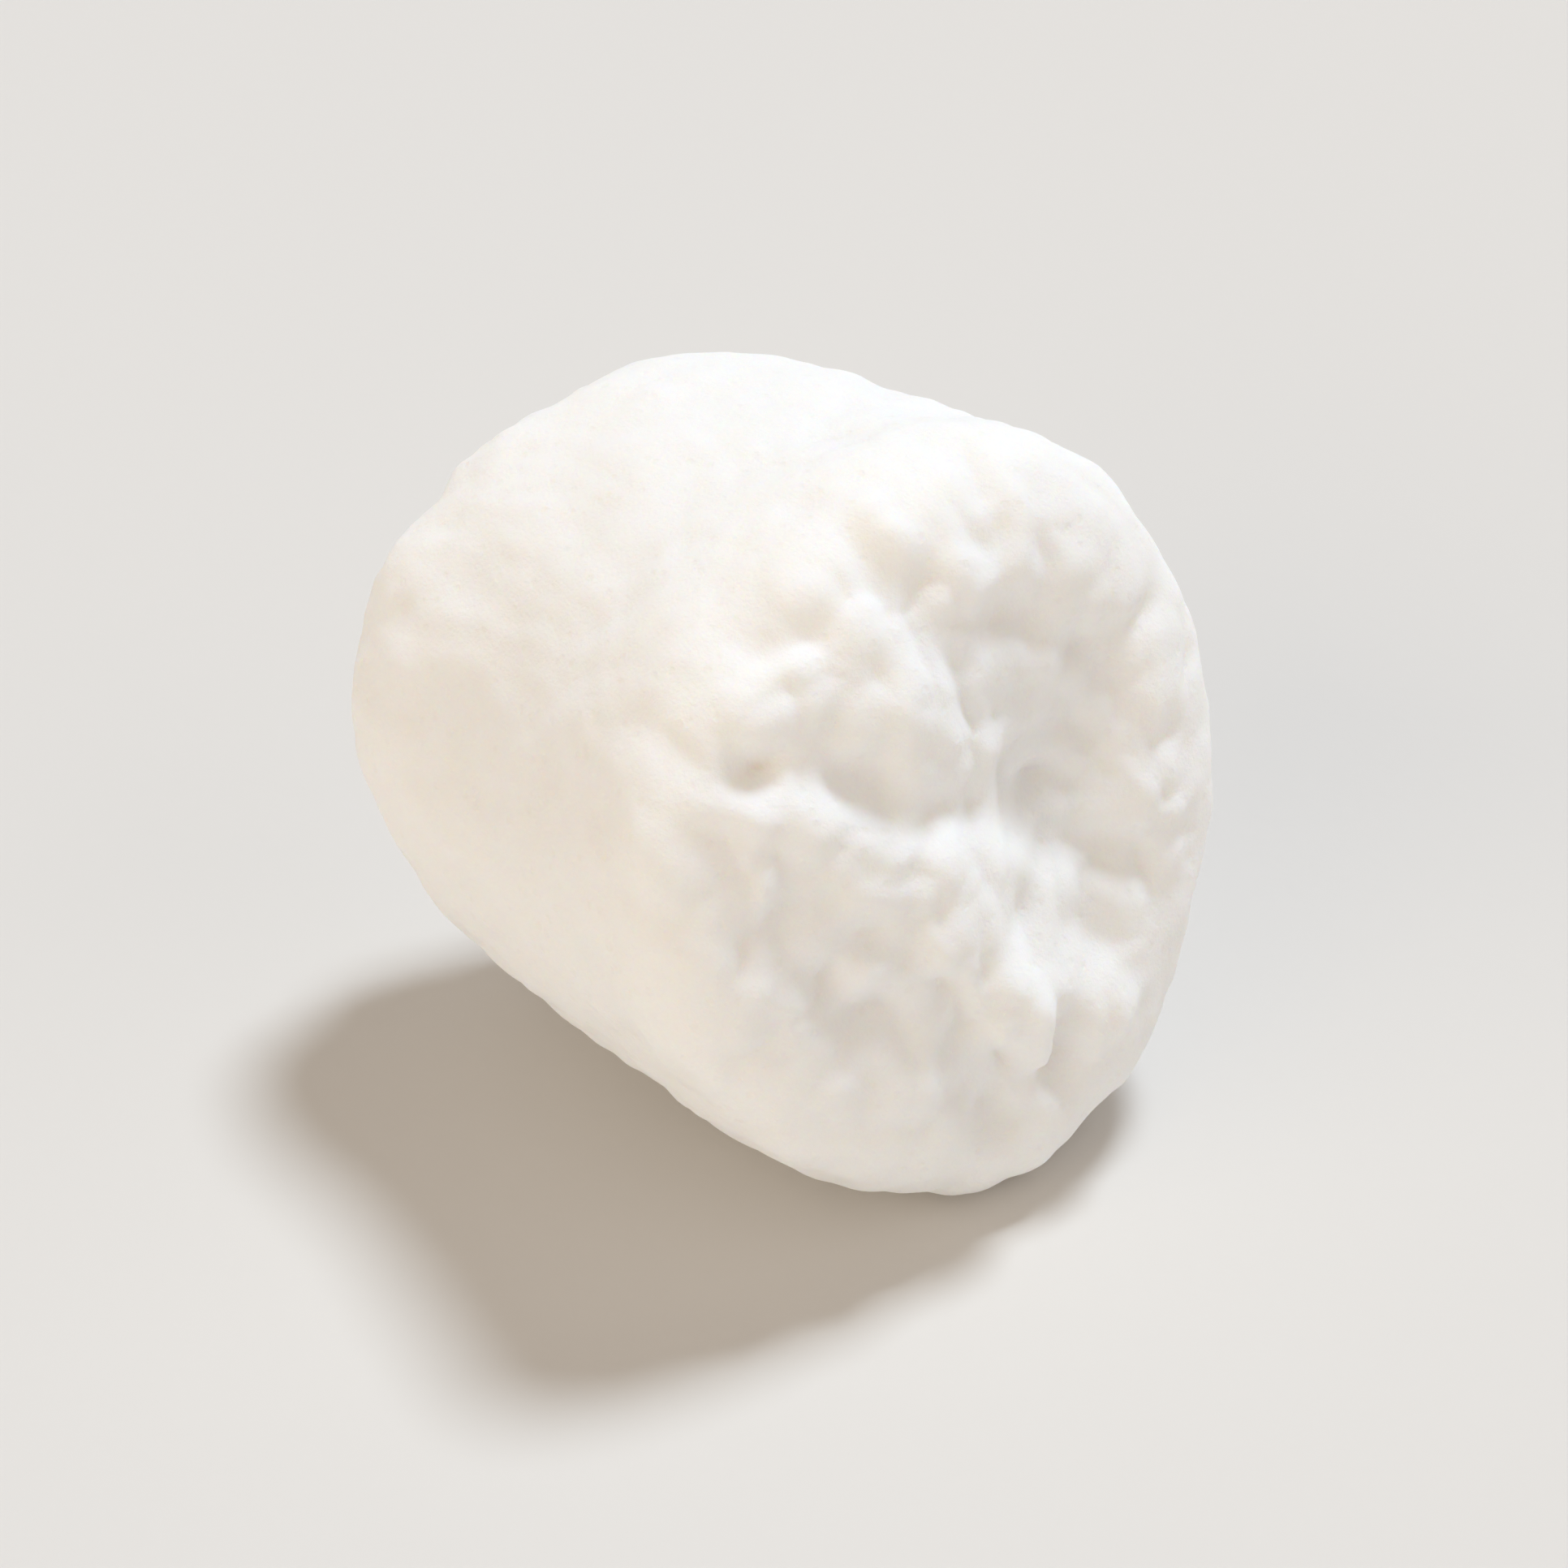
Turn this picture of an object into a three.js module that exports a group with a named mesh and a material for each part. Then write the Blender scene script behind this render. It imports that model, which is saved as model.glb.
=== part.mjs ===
// A small marshmallow: a puffy, uneven cylinder of sugar foam, dusted with starch.
//
// Units are millimetres and +Z is up. The marshmallow lies on its side on the plane z = 0, with its axis
// along Y. The front cut face looks towards -Y and the back cut face towards +Y. The origin is under the
// middle of the piece.
//
// The surface is worked out in three steps. A rounded drum is the base form. Relief then moves each of its
// points in or out: lumps, pits, creases, wrinkles and curds in the crumpled patch of each cut face, hollows
// and a gentle waviness on the side. Last, the whole form is made uneven, as soft food is, and set down on
// its flat.

import * as THREE from 'three';

// ---------------------------------------------------------------- driving dimensions

const LENGTH = 11.0; // from cut face to cut face, without the lumps
const DIAMETER = 11.7; // at mid length, before it is made uneven
const FRONT_EDGE_POWER = 4.8; // the higher, the tighter the round edge of the front face
const BACK_EDGE_POWER = 3.9; // and of the back face

const TAPER = 0.08; // share by which the front is wider, and the back narrower, than the middle
const OVAL = 0.02; // share by which the section is higher and narrower than a circle
const THREE_LOBE = 0.03; // share of a faint three-sided roundness of the section
const LOBE_TURN = THREE.MathUtils.degToRad(-156); // how far round the axis the three sides are turned
const BEND = 0.4; // sideways bow of the axis at mid length
const CURL = 0.2; // how far the back end is bent up
const FRONT_CUT_SLOPE = new THREE.Vector2(-0.02, 0.24); // lean of the front cut, across and upwards
const BACK_CUT_SLOPE = new THREE.Vector2(-0.17, 0.17); // lean of the back cut
const REST_DEPTH = 0.22; // how much of the round underside is pressed flat

const COLUMNS = 114; // points round the side
const ROWS = 68; // steps from the middle of one face to the middle of the other
const RING_GROWTH = 6; // points that each ring on a face has more than the ring inside it

const HALF_LENGTH = LENGTH / 2;
const RADIUS = DIAMETER / 2;

// Creases of the front face: lines of places (across, upwards), with a width and a depth.
const FRONT_CREASES = [
  { line: [[-4.4, 3.0], [-2.7, 2.5], [-1.2, 1.5], [0.4, 0.6], [2.5, -0.8]], width: 0.42, depth: 0.30 },
  {
    line: [[-1.4, 5.8], [-0.9, 4.8], [-0.3, 3.9], [1.1, 3.4], [2.0, 2.7], [2.9, 1.7]],
    width: 0.38,
    depth: 0.24,
  },
  {
    line: [[-4.7, 1.8], [-4.1, 0.5], [-3.0, -1.0], [-1.5, -2.1], [-0.7, -3.4], [-0.2, -4.4]],
    width: 0.50,
    depth: 0.26,
  },
  { line: [[-4.0, 2.0], [-3.0, 0.9], [-2.1, -0.4]], width: 0.32, depth: 0.14 },
  { line: [[0.6, -2.4], [0.9, -3.3], [1.3, -4.2]], width: 0.36, depth: 0.24 },
  { line: [[-3.9, 5.0], [-2.6, 4.6], [-1.6, 4.8], [-0.7, 4.2]], width: 0.36, depth: 0.12 },
];

// Lumps of the front face: where (across, upwards), how wide and how high each stands. Those of less than no
// height are the hollow beside the middle.
const FRONT_LUMPS = [
  { at: [-1.2, 3.3], radius: 0.8, height: 0.24 },
  { at: [-2.9, 1.5], radius: 0.9, height: 0.20 },
  { at: [-1.5, 0.0], radius: 1.1, height: 0.24 },
  { at: [-0.4, -1.4], radius: 0.8, height: 0.14 },
  { at: [0.4, -2.1], radius: 0.7, height: 0.32 },
  { at: [1.6, -3.0], radius: 0.8, height: 0.38 },
  { at: [-1.2, -0.8], radius: 2.4, height: 0.26 },
  { at: [2.0, 1.1], radius: 1.2, height: -0.72 },
  { at: [1.0, 0.8], radius: 1.0, height: -0.40 },
  { at: [1.5, -0.9], radius: 1.4, height: -0.32 },
  { at: [0.6, 2.3], radius: 0.8, height: -0.22 },
];

// Pits of the front face: where (across, upwards) each lies.
const FRONT_PITS = [
  [-3.8, 2.9], [-2.0, 2.3], [-0.6, 1.4], [1.1, 2.2], [1.6, 0.5],
  [1.0, 3.5], [-0.3, 4.6], [2.5, 2.5], [-2.4, 4.3], [-3.3, 4.6],
  [-0.4, -2.8], [0.9, 4.5], [-3.2, -0.5], [0.5, -0.9], [-2.4, 0.0],
];

// The back face, with a puckered hollow left of its middle.
const BACK_CREASES = [
  { line: [[-1.2, 0.4], [-3.0, 2.9]], width: 0.40, depth: 0.28 },
  { line: [[-1.0, 0.2], [1.4, 1.6], [3.8, 1.9]], width: 0.45, depth: 0.32 },
  { line: [[-1.2, -0.2], [-2.2, -1.6], [-4.2, -2.2]], width: 0.42, depth: 0.30 },
  { line: [[-0.8, -0.1], [0.6, -1.8], [0.9, -4.3]], width: 0.40, depth: 0.30 },
];
const BACK_LUMPS = [
  { at: [-1.0, 0.1], radius: 1.0, height: -0.28 },
  { at: [0.9, 3.2], radius: 1.2, height: 0.24 },
  { at: [2.7, -0.9], radius: 1.4, height: 0.26 },
  { at: [-1.9, -3.3], radius: 1.2, height: 0.24 },
  { at: [-3.4, 0.6], radius: 1.0, height: 0.20 },
];
const BACK_PITS = [
  [-2.4, 2.2], [1.2, 1.4], [-2.6, -1.7], [0.5, -2.2],
  [2.6, 1.8], [-0.3, -3.3], [3.2, -2.4], [-0.6, 3.4],
];

const PIT_RADIUS = 0.40;
const PIT_DEPTH = 0.20;

// Shallow hollows that other pieces have pressed into the side: angle round the axis from +X in degrees,
// place along the axis, how wide and how deep.
const SIDE_HOLLOWS = [
  { angle: 150, along: 1.6, radius: 2.4, depth: 0.26 },
  { angle: 62, along: -1.2, radius: 2.2, depth: 0.16 },
  { angle: 8, along: 2.0, radius: 2.6, depth: 0.24 },
  { angle: 205, along: -2.4, radius: 1.9, depth: 0.18 },
];

// Wrinkles and curds of the crumpled patches, and waviness of the side: the distance from crest to crest,
// and the height.
const WRINKLE_BANDS = [
  { spacing: 2.1, height: 0.08 },
  { spacing: 1.2, height: 0.08 },
];
const WRINKLE_ROUNDING = 0.22; // how wide the bottom of a valley between two folds is
const CURD_BANDS = [
  { spacing: 1.10, height: 0.36 },
  { spacing: 0.60, height: 0.28 },
];
const CURD_SHARPNESS = 5; // the higher, the narrower the gaps between curds
const CURD_DROP = 0.35; // how much lower than the highest the lowest curds are, as a share of their height
const SIDE_BANDS = [
  { spacing: 4.6, height: 0.14 },
  { spacing: 1.9, height: 0.10 },
];
// How the relief is pulled out of line: by smooth waves of this spacing, by up to this reach. The first
// pulls wrinkles and curds, the second the curds alone.
const WIDE_PULL = { spacing: 2.6, reach: 0.35 };
const NEAR_PULL = { spacing: 0.85, reach: 0.16 };

// The crumpled patch of each face lies beside its middle. Its edge is soft and wavering, and the patch is
// sunk a little below the smooth rim round it.
const FRONT_PATCH = { at: [-0.3, 1.0], radius: 4.7 };
const BACK_PATCH = { at: [-0.4, 0.4], radius: 4.6 };
const PATCH_FADE = 0.8;
const PATCH_WAVER = { spacing: 1.4, reach: 0.5 };
const PATCH_SINK = 0.12;
// How squarely a point looks along Y where face relief begins and where it is full: it begins just beyond
// the round edge, where points still look a little the other way.
const FACE_MASK = { from: -0.05, to: 0.25 };

const FRONT_SEED = 161;
const BACK_SEED = 11;
const SIDE_SEED = 23;

// ---------------------------------------------------------------- smooth noise

/** A number from 0 to 1 that depends only on a lattice corner and the seed. */
function cornerValue(i, j, k, seed) {
  let mix = Math.imul(i, 374761393) + Math.imul(j, 668265263);
  mix = mix + Math.imul(k, 1274126177) + Math.imul(seed, 974634777);
  mix = Math.imul(mix ^ (mix >>> 13), 1103515245);
  mix = Math.imul(mix ^ (mix >>> 15), 668265263);
  return ((mix ^ (mix >>> 16)) >>> 0) / 4294967296;
}

/** Smooth noise from about -1 to 1: a random slope at each lattice corner, blended across the cell. */
function noise(x, y, z, seed) {
  const cell = [Math.floor(x), Math.floor(y), Math.floor(z)];
  const inCell = [x - cell[0], y - cell[1], z - cell[2]];
  const blend = inCell.map((s) => s * s * s * (s * (s * 6 - 15) + 10));
  let sum = 0;
  for (const [di, dj, dk] of CELL_CORNERS) {
    const corner = [cell[0] + di, cell[1] + dj, cell[2] + dk];
    const slopes = [0, 1, 2].map((n) => cornerValue(...corner, seed + n * 57) * 2 - 1);
    const away = [inCell[0] - di, inCell[1] - dj, inCell[2] - dk];
    const shares = [di, dj, dk].map((far, n) => (far ? blend[n] : 1 - blend[n]));
    const slope = slopes[0] * away[0] + slopes[1] * away[1] + slopes[2] * away[2];
    sum += shares[0] * shares[1] * shares[2] * slope;
  }
  return sum * 1.6;
}

const CELL_CORNERS = [0, 1].flatMap((i) => [0, 1].flatMap((j) => [0, 1].map((k) => [i, j, k])));

/** Soft step from 0 at `from` to 1 at `to`. */
function softStep(from, to, value) {
  return THREE.MathUtils.smoothstep(value, from, to);
}

// ---------------------------------------------------------------- relief

/** Distance from a place on a face to a crease's line, both as (across, upwards). */
function distanceToLine(across, up, line) {
  let nearest = Infinity;
  for (let n = 0; n + 1 < line.length; n += 1) {
    const [x0, z0] = line[n];
    const [x1, z1] = line[n + 1];
    const runX = x1 - x0;
    const runZ = z1 - z0;
    const along = ((across - x0) * runX + (up - z0) * runZ) / (runX * runX + runZ * runZ);
    const held = Math.min(Math.max(along, 0), 1);
    nearest = Math.min(nearest, Math.hypot(across - x0 - held * runX, up - z0 - held * runZ));
  }
  return nearest;
}

/** A place pulled across and upwards by smooth noise. */
function pulled([x, y, z], pull, seed) {
  const at = [x / pull.spacing, y / pull.spacing, z / pull.spacing];
  return [x + pull.reach * noise(...at, seed), y, z + pull.reach * noise(...at, seed + 101)];
}

/** Folds with round backs and sharp valleys: the size of smooth noise, capped and centred, in bands. */
function wrinkles([x, y, z], seed) {
  let height = 0;
  WRINKLE_BANDS.forEach((band, n) => {
    const wave = noise(x / band.spacing, y / band.spacing, z / band.spacing, seed + n);
    const fold = Math.hypot(wave, WRINKLE_ROUNDING) - WRINKLE_ROUNDING;
    height += band.height * (Math.min(fold * 2.4, 1) - 0.5);
  });
  return height;
}

/**
 * Small round lumps packed side by side on a face, about 1 high: each cell of a flat lattice holds one lump
 * at a random place, at a random depth below 1, and falls off as the square of the distance from it. The
 * highest counts, taken softly as the log of a sum of powers.
 */
function curds(x, z, spacing, seed) {
  const column = Math.floor(x / spacing);
  const row = Math.floor(z / spacing);
  let total = 0;
  for (const [stepX, stepZ] of FLAT_NEIGHBOURS) {
    const i = column + stepX;
    const k = row + stepZ;
    const awayX = x / spacing - i - cornerValue(i, 0, k, seed);
    const awayZ = z / spacing - k - cornerValue(i, 0, k, seed + 57);
    const drop = CURD_DROP * cornerValue(i, 0, k, seed + 114);
    total += Math.exp(-CURD_SHARPNESS * (awayX * awayX + awayZ * awayZ + drop));
  }
  return 1 + Math.log(total) / CURD_SHARPNESS;
}

const STEPS = [-1, 0, 1];
const FLAT_NEIGHBOURS = STEPS.flatMap((i) => STEPS.map((k) => [i, k]));

/** How much of a crumpled patch is present at a place: 1 inside it, 0 outside, soft across its edge. */
function patchShare([x, y, z], patch, seed) {
  const at = [x, y, z].map((v) => v / PATCH_WAVER.spacing);
  const away = Math.hypot(x - patch.at[0], z - patch.at[1]) + PATCH_WAVER.reach * noise(...at, seed + 400);
  return 1 - softStep(patch.radius - PATCH_FADE, patch.radius + PATCH_FADE, away);
}

/** Height of one cut face's relief: its wrinkles and curds, its lumps, and the pits and creases in them. */
function faceRelief(place, lumps, pits, creases, seed) {
  const [x, , z] = place;
  const wide = pulled(place, WIDE_PULL, seed + 101);
  const [nearX, , nearZ] = pulled(wide, NEAR_PULL, seed + 303);
  let height = wrinkles(wide, seed) - PATCH_SINK;
  CURD_BANDS.forEach((band, n) => {
    height += band.height * (curds(nearX, nearZ, band.spacing, seed + 300 + n) - 0.7);
  });
  for (const lump of lumps) {
    const away = Math.hypot(x - lump.at[0], z - lump.at[1]) / lump.radius;
    height += lump.height * Math.exp(-away * away);
  }
  for (const [across, up] of pits) {
    const away = Math.hypot(x - across, z - up) / PIT_RADIUS;
    height -= PIT_DEPTH * Math.exp(-away * away);
  }
  for (const crease of creases) {
    const away = distanceToLine(x, z, crease.line) / crease.width;
    height -= crease.depth * Math.exp(-away * away);
  }
  return height;
}

/** Height of the side's relief: pressed hollows and a gentle waviness. */
function sideRelief(x, y, z) {
  let height = 0;
  SIDE_BANDS.forEach((band, n) => {
    height += band.height * noise(x / band.spacing, y / band.spacing, z / band.spacing, SIDE_SEED + n);
  });
  for (const hollow of SIDE_HOLLOWS) {
    const angle = THREE.MathUtils.degToRad(hollow.angle);
    const dx = x - RADIUS * Math.cos(angle);
    const dz = z - RADIUS * Math.sin(angle);
    const away = Math.hypot(dx, y - hollow.along, dz) / hollow.radius;
    height -= hollow.depth * Math.exp(-away * away);
  }
  return height;
}

// ---------------------------------------------------------------- the form

/**
 * Point of the rounded drum seen from its middle under `tilt` (0 at the front, pi at the back) and `turn`
 * round the axis, with the direction that its surface faces there. The drum is a super-ellipse turned
 * round the axis.
 */
function drumPoint(tilt, turn) {
  const power = tilt < Math.PI / 2 ? FRONT_EDGE_POWER : BACK_EDGE_POWER;
  const towards = -Math.cos(tilt);
  const outwards = Math.sin(tilt);
  const size = (Math.abs(towards) / HALF_LENGTH) ** power + (outwards / RADIUS) ** power;
  const reach = size ** (-1 / power);
  const y = reach * towards;
  const out = reach * outwards;
  const faceY = (Math.sign(y) * (Math.abs(y) / HALF_LENGTH) ** (power - 1)) / HALF_LENGTH;
  const faceOut = (out / RADIUS) ** (power - 1) / RADIUS;
  const point = new THREE.Vector3(out * Math.cos(turn), y, out * Math.sin(turn));
  const facing = new THREE.Vector3(faceOut * Math.cos(turn), faceY, faceOut * Math.sin(turn)).normalize();
  return { point, facing };
}

/** Height of all relief at a point of the drum, each kind fading out where the next begins. */
function relief(point, facing) {
  const { x, y, z } = point;
  const here = [x, y, z];
  const mirrored = [-x, y, z];
  const front = softStep(FACE_MASK.from, FACE_MASK.to, -facing.y) * patchShare(here, FRONT_PATCH, FRONT_SEED);
  const back = softStep(FACE_MASK.from, FACE_MASK.to, facing.y) * patchShare(mirrored, BACK_PATCH, BACK_SEED);
  let height = (1 - front - back) * sideRelief(x, y, z);
  if (front > 0) height += front * faceRelief(here, FRONT_LUMPS, FRONT_PITS, FRONT_CREASES, FRONT_SEED);
  if (back > 0) height += back * faceRelief(mirrored, BACK_LUMPS, BACK_PITS, BACK_CREASES, BACK_SEED);
  return height;
}

/**
 * Makes a drum point uneven and sets it down: its width changes along the axis by taper and round it by oval
 * and lobes, its axis bows, its back end curls up, its cuts slant, and what is under z = 0 is pressed flat.
 */
function settle(point) {
  const along = point.y / HALF_LENGTH;
  const turn = Math.atan2(point.z, point.x);
  const girth = 1 - TAPER * along;
  const width = girth * (1 + THREE_LOBE * Math.cos(3 * turn + LOBE_TURN));
  const x = point.x * width * (1 - OVAL);
  const z = point.z * width * (1 + OVAL);
  const frontShare = Math.max(0, -along);
  const backShare = Math.max(0, along);
  const lean = frontShare * (FRONT_CUT_SLOPE.x * x + FRONT_CUT_SLOPE.y * z)
    + backShare * (BACK_CUT_SLOPE.x * x + BACK_CUT_SLOPE.y * z);
  const lift = RADIUS * girth * (1 + OVAL) + CURL * backShare * backShare - REST_DEPTH;
  return new THREE.Vector3(
    x + BEND * (1 - along * along),
    point.y + lean,
    Math.max(0, z + lift),
  );
}

/** The finished surface point under `tilt` and `turn`. */
function surfacePoint(tilt, turn) {
  const { point, facing } = drumPoint(tilt, turn);
  return settle(point.addScaledVector(facing, relief(point, facing)));
}

/** Tilt of a row: the rows point at evenly spaced places on the outline of the box that holds the drum. */
function rowTilt(row) {
  const walked = (row / ROWS) * (2 * RADIUS + LENGTH);
  const outwards = Math.min(walked, RADIUS, 2 * RADIUS + LENGTH - walked);
  const along = Math.min(Math.max(walked - RADIUS - HALF_LENGTH, -HALF_LENGTH), HALF_LENGTH);
  return Math.atan2(outwards, -along);
}

/** Triangles between two rings, each given by its first index and its number of points. */
function joinRings(front, back) {
  const triangles = [];
  let f = 0;
  let b = 0;
  while (f < front.count || b < back.count) {
    const frontPoint = front.first + (f % front.count);
    const backPoint = back.first + (b % back.count);
    const nextFront = front.first + ((f + 1) % front.count);
    const nextBack = back.first + ((b + 1) % back.count);
    if (f < front.count && (f + 1) * back.count <= (b + 1) * front.count) {
      if (nextFront !== frontPoint) triangles.push(frontPoint, backPoint, nextFront);
      f += 1;
    } else {
      if (nextBack !== backPoint) triangles.push(frontPoint, backPoint, nextBack);
      b += 1;
    }
  }
  return triangles;
}

/** Closed mesh of the marshmallow: one point at the middle of each face, and rings of points between them. */
function marshmallowGeometry() {
  const points = [];
  const rings = [];
  for (let row = 0; row <= ROWS; row += 1) {
    const count = Math.max(1, Math.min(RING_GROWTH * row, COLUMNS, RING_GROWTH * (ROWS - row)));
    rings.push({ first: points.length, count });
    for (let n = 0; n < count; n += 1) {
      points.push(surfacePoint(rowTilt(row), (2 * Math.PI * n) / count));
    }
  }
  const triangles = [];
  for (let row = 0; row < ROWS; row += 1) {
    triangles.push(...joinRings(rings[row], rings[row + 1]));
  }

  const geometry = new THREE.BufferGeometry().setFromPoints(points);
  geometry.setIndex(triangles);
  const middle = new THREE.Box3().setFromPoints(points).getCenter(new THREE.Vector3());
  geometry.translate(-middle.x, -middle.y, 0);
  geometry.computeVertexNormals();
  return geometry;
}

// ---------------------------------------------------------------- the object

const foam = new THREE.MeshStandardMaterial({ color: 0xf6f2e8, roughness: 0.9, metalness: 0 });

const marshmallow = new THREE.Mesh(marshmallowGeometry(), foam);
marshmallow.name = 'marshmallow';

const group = new THREE.Group();
group.add(marshmallow);

export default group;
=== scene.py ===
import math

import bpy
import numpy as np
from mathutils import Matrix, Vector
from bpy.props import FloatProperty, FloatVectorProperty, IntProperty, PointerProperty


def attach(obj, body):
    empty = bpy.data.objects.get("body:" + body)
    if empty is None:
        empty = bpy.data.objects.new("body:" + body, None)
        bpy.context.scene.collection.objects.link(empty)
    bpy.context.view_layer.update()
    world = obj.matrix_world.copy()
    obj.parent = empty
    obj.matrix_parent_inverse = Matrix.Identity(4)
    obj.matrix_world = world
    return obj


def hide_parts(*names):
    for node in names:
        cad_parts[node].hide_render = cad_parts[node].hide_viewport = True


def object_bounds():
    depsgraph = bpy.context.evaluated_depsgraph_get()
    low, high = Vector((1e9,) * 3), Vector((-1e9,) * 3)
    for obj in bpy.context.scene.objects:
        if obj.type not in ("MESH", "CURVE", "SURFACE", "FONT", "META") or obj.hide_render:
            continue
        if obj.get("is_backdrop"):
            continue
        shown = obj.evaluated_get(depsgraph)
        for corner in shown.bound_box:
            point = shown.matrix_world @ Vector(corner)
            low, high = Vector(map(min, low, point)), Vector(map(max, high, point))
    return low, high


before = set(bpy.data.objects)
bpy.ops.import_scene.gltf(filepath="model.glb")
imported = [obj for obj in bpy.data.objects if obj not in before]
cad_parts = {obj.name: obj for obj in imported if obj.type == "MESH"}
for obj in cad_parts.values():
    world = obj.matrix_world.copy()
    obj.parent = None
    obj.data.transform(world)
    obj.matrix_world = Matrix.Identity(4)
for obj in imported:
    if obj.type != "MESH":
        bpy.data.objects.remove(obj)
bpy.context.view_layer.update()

bl_info = {
    "name": "Small marshmallow",
    "version": (1, 0, 0),
    "blender": (4, 5, 0),
    "location": "View3D > Sidebar > Marshmallow",
    "description": "Makes one small starch-dusted marshmallow lying on its side, with its floor and light",
    "category": "Add Mesh",
}

# The shape is worked out in millimetres, in the frame of the solid: +Z up, the axis along Y, the front cut
# face towards -Y. MM brings it to metres where it becomes a mesh.
MM = 0.001

# ---------------------------------------------------------------- relief, in millimetres

# Creases of the front face: lines of places (across, upwards), with a width and a depth.
FRONT_CREASES = (
    {"line": ((-4.4, 3.0), (-2.7, 2.5), (-1.2, 1.5), (0.4, 0.6), (2.5, -0.8)), "width": 0.42, "depth": 0.30},
    {"line": ((-1.4, 5.8), (-0.9, 4.8), (-0.3, 3.9), (1.1, 3.4), (2.0, 2.7), (2.9, 1.7)),
     "width": 0.38, "depth": 0.24},
    {"line": ((-4.7, 1.8), (-4.1, 0.5), (-3.0, -1.0), (-1.5, -2.1), (-0.7, -3.4), (-0.2, -4.4)),
     "width": 0.50, "depth": 0.26},
    {"line": ((-4.0, 2.0), (-3.0, 0.9), (-2.1, -0.4)), "width": 0.32, "depth": 0.14},
    {"line": ((0.6, -2.4), (0.9, -3.3), (1.3, -4.2)), "width": 0.36, "depth": 0.24},
    {"line": ((-3.9, 5.0), (-2.6, 4.6), (-1.6, 4.8), (-0.7, 4.2)), "width": 0.36, "depth": 0.12},
)
# Lumps of the front face: where (across, upwards), how wide and how high each stands. Those of less than no
# height are the hollow beside the middle.
FRONT_LUMPS = (
    {"at": (-1.2, 3.3), "radius": 0.8, "height": 0.24},
    {"at": (-2.9, 1.5), "radius": 0.9, "height": 0.20},
    {"at": (-1.5, 0.0), "radius": 1.1, "height": 0.24},
    {"at": (-0.4, -1.4), "radius": 0.8, "height": 0.14},
    {"at": (0.4, -2.1), "radius": 0.7, "height": 0.32},
    {"at": (1.6, -3.0), "radius": 0.8, "height": 0.38},
    {"at": (-1.2, -0.8), "radius": 2.4, "height": 0.26},
    {"at": (2.0, 1.1), "radius": 1.2, "height": -0.72},
    {"at": (1.0, 0.8), "radius": 1.0, "height": -0.40},
    {"at": (1.5, -0.9), "radius": 1.4, "height": -0.32},
    {"at": (0.6, 2.3), "radius": 0.8, "height": -0.22},
)
# Pits of the front face: where (across, upwards) each lies.
FRONT_PITS = (
    (-3.8, 2.9), (-2.0, 2.3), (-0.6, 1.4), (1.1, 2.2), (1.6, 0.5), (1.0, 3.5), (-0.3, 4.6), (2.5, 2.5),
    (-2.4, 4.3), (-3.3, 4.6), (-0.4, -2.8), (0.9, 4.5), (-3.2, -0.5), (0.5, -0.9), (-2.4, 0.0),
)
# The back face, with a puckered hollow beside its middle.
BACK_CREASES = (
    {"line": ((-1.2, 0.4), (-3.0, 2.9)), "width": 0.40, "depth": 0.28},
    {"line": ((-1.0, 0.2), (1.4, 1.6), (3.8, 1.9)), "width": 0.45, "depth": 0.32},
    {"line": ((-1.2, -0.2), (-2.2, -1.6), (-4.2, -2.2)), "width": 0.42, "depth": 0.30},
    {"line": ((-0.8, -0.1), (0.6, -1.8), (0.9, -4.3)), "width": 0.40, "depth": 0.30},
)
BACK_LUMPS = (
    {"at": (-1.0, 0.1), "radius": 1.0, "height": -0.28},
    {"at": (0.9, 3.2), "radius": 1.2, "height": 0.24},
    {"at": (2.7, -0.9), "radius": 1.4, "height": 0.26},
    {"at": (-1.9, -3.3), "radius": 1.2, "height": 0.24},
    {"at": (-3.4, 0.6), "radius": 1.0, "height": 0.20},
)
BACK_PITS = (
    (-2.4, 2.2), (1.2, 1.4), (-2.6, -1.7), (0.5, -2.2), (2.6, 1.8), (-0.3, -3.3), (3.2, -2.4), (-0.6, 3.4),
)
PIT_RADIUS, PIT_DEPTH = 0.40, 0.20  # of every pit on both faces
# Shallow hollows pressed into the side: angle round the axis from +X, place along it, how wide, how deep.
SIDE_HOLLOWS = (
    {"angle": 150, "along": 1.6, "radius": 2.4, "depth": 0.26},
    {"angle": 62, "along": -1.2, "radius": 2.2, "depth": 0.16},
    {"angle": 8, "along": 2.0, "radius": 2.6, "depth": 0.24},
    {"angle": 205, "along": -2.4, "radius": 1.9, "depth": 0.18},
)
# Bands of wrinkles and waves: the distance from crest to crest, and the height. The first two of each are the
# solid's own; the finer ones are the skin's.
WRINKLE_BANDS = ((2.1, 0.08), (1.2, 0.08))
CURD_BANDS = ((1.10, 0.36), (0.60, 0.28), (0.34, 0.08))
CURD_SHARPNESS = 5  # the higher, the narrower the gaps between curds
CURD_DROP = 0.35  # how much lower than the highest the lowest curds are, as a share of the band's height
CURD_LEVEL = 0.7  # the height in a band that lies level with the face
WRINKLE_ROUNDING = 0.22  # how round the valleys between wrinkles are
WRINKLE_GAIN = 2.4  # how soon a wrinkle's back grows flat
WIDE_PULL, NEAR_PULL = (2.6, 0.35), (0.85, 0.16)  # spacing and reach of what pulls the relief out of line
SIDE_BANDS = ((4.6, 0.14), (1.9, 0.10), (0.85, 0.065), (0.42, 0.03))
FACE_MASK = (-0.05, 0.25)  # how squarely a point looks along Y where face relief begins and is full
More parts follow.
